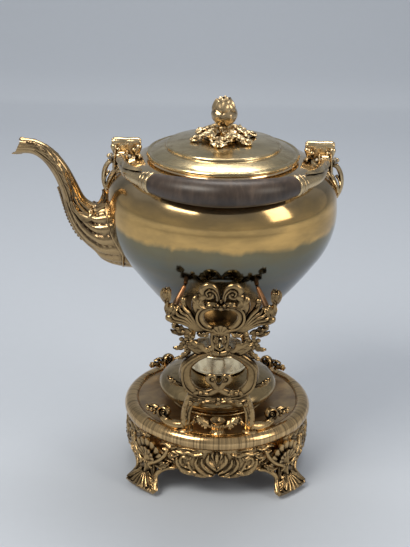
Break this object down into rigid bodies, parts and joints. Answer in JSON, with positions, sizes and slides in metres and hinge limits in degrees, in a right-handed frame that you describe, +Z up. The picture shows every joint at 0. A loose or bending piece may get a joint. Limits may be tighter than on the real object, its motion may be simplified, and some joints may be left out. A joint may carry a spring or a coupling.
{
  "type": "spirit kettle on stand",
  "caption": "Swing-handled water kettle with a curved spout and domed lid, carried by prongs on two ornate leaning frames over a spirit lamp, on a round footed base.",
  "frame": {"origin": "on the axis of the kettle and the base plate, at the height of the table under the feet", "axes": "+Z up, -X towards the spout, -Y towards the folded handle's grip"},
  "size_m": [0.275, 0.215, 0.3365],
  "materials": {
    "kettle_plate": "polished silver plate with warm tarnish",
    "lid_plate": "satin silver plate with warm tarnish",
    "cast_mounts": "cast and chased, satin",
    "cast_ornament": "cast and chased, dark in the recesses",
    "spun_plate": "spun, satin with tarnish patches",
    "copper_prongs": "satin, copper tinted",
    "steel_fastenings": "satin",
    "dark_grip": "ebonised wood, satin",
    "wick": "woven cotton"
  },
  "bodies": {
    "stand": {"base_plate": "spun_plate", "base_apron": "cast_ornament", "foot_front_left": "cast_ornament", "foot_front_right": "cast_ornament", "foot_back_left": "cast_ornament", "foot_back_right": "cast_ornament", "foot_screws": "steel_fastenings", "frame_screws": "steel_fastenings", "front_lyre": "cast_ornament", "front_cradle": "cast_ornament", "front_garland": "cast_ornament", "front_left_scroll_foot": "cast_ornament", "front_right_scroll_foot": "cast_ornament", "front_left_prong": "copper_prongs", "front_right_prong": "copper_prongs", "front_left_prong_cup": "cast_ornament", "front_right_prong_cup": "cast_ornament", "back_lyre": "cast_ornament", "back_cradle": "cast_ornament", "back_garland": "cast_ornament", "back_left_scroll_foot": "cast_ornament", "back_right_scroll_foot": "cast_ornament", "back_left_prong": "copper_prongs", "back_right_prong": "copper_prongs", "back_left_prong_cup": "cast_ornament", "back_right_prong_cup": "cast_ornament"},
    "lamp": {"lamp_foot": "spun_plate", "lamp_bowl": "spun_plate", "lamp_dome": "spun_plate", "lamp_collar": "spun_plate", "wick_tube": "spun_plate", "wick": "wick"},
    "snuffer": {"snuffer_cap": "spun_plate", "snuffer_knob": "spun_plate"},
    "kettle": {"kettle_bowl": "kettle_plate", "kettle_shoulder": "kettle_plate", "kettle_mouth_ring": "kettle_plate", "kettle_foot_ring": "kettle_plate", "spout": "kettle_plate", "handle_bracket_left": "cast_mounts", "handle_bracket_right": "cast_mounts", "hinge_pin_left": "steel_fastenings", "hinge_pin_right": "steel_fastenings"},
    "lid": {"lid_cover": "lid_plate", "lid_flange": "lid_plate", "finial_calyx": "lid_plate", "finial_bud": "lid_plate", "finial_stud": "steel_fastenings", "finial_nut": "steel_fastenings"},
    "handle": {"handle_grip": "dark_grip", "handle_arm_left": "cast_mounts", "handle_arm_right": "cast_mounts", "grip_pins": "steel_fastenings"}
  },
  "joints": [
    {"name": "kettle_lift", "type": "slide", "parent": "stand", "child": "kettle", "axis": [0, 0, 1], "range_m": [0, 0.06]},
    {"name": "lid_lift", "type": "slide", "parent": "kettle", "child": "lid", "axis": [0, 0, 1], "range_m": [0, 0.03]},
    {"name": "handle_swing", "type": "hinge", "parent": "kettle", "child": "handle", "pos_m": [0, 0, 0.283], "axis": [-1, 0, 0], "range_deg": [0, 87.5]},
    {"name": "lamp_lift", "type": "slide", "parent": "stand", "child": "lamp", "axis": [0, 0, 1], "range_m": [0, 0.009]},
    {"name": "snuffer_lift", "type": "slide", "parent": "lamp", "child": "snuffer", "axis": [0, 0, 1], "range_m": [0, 0.008]}
  ]
}
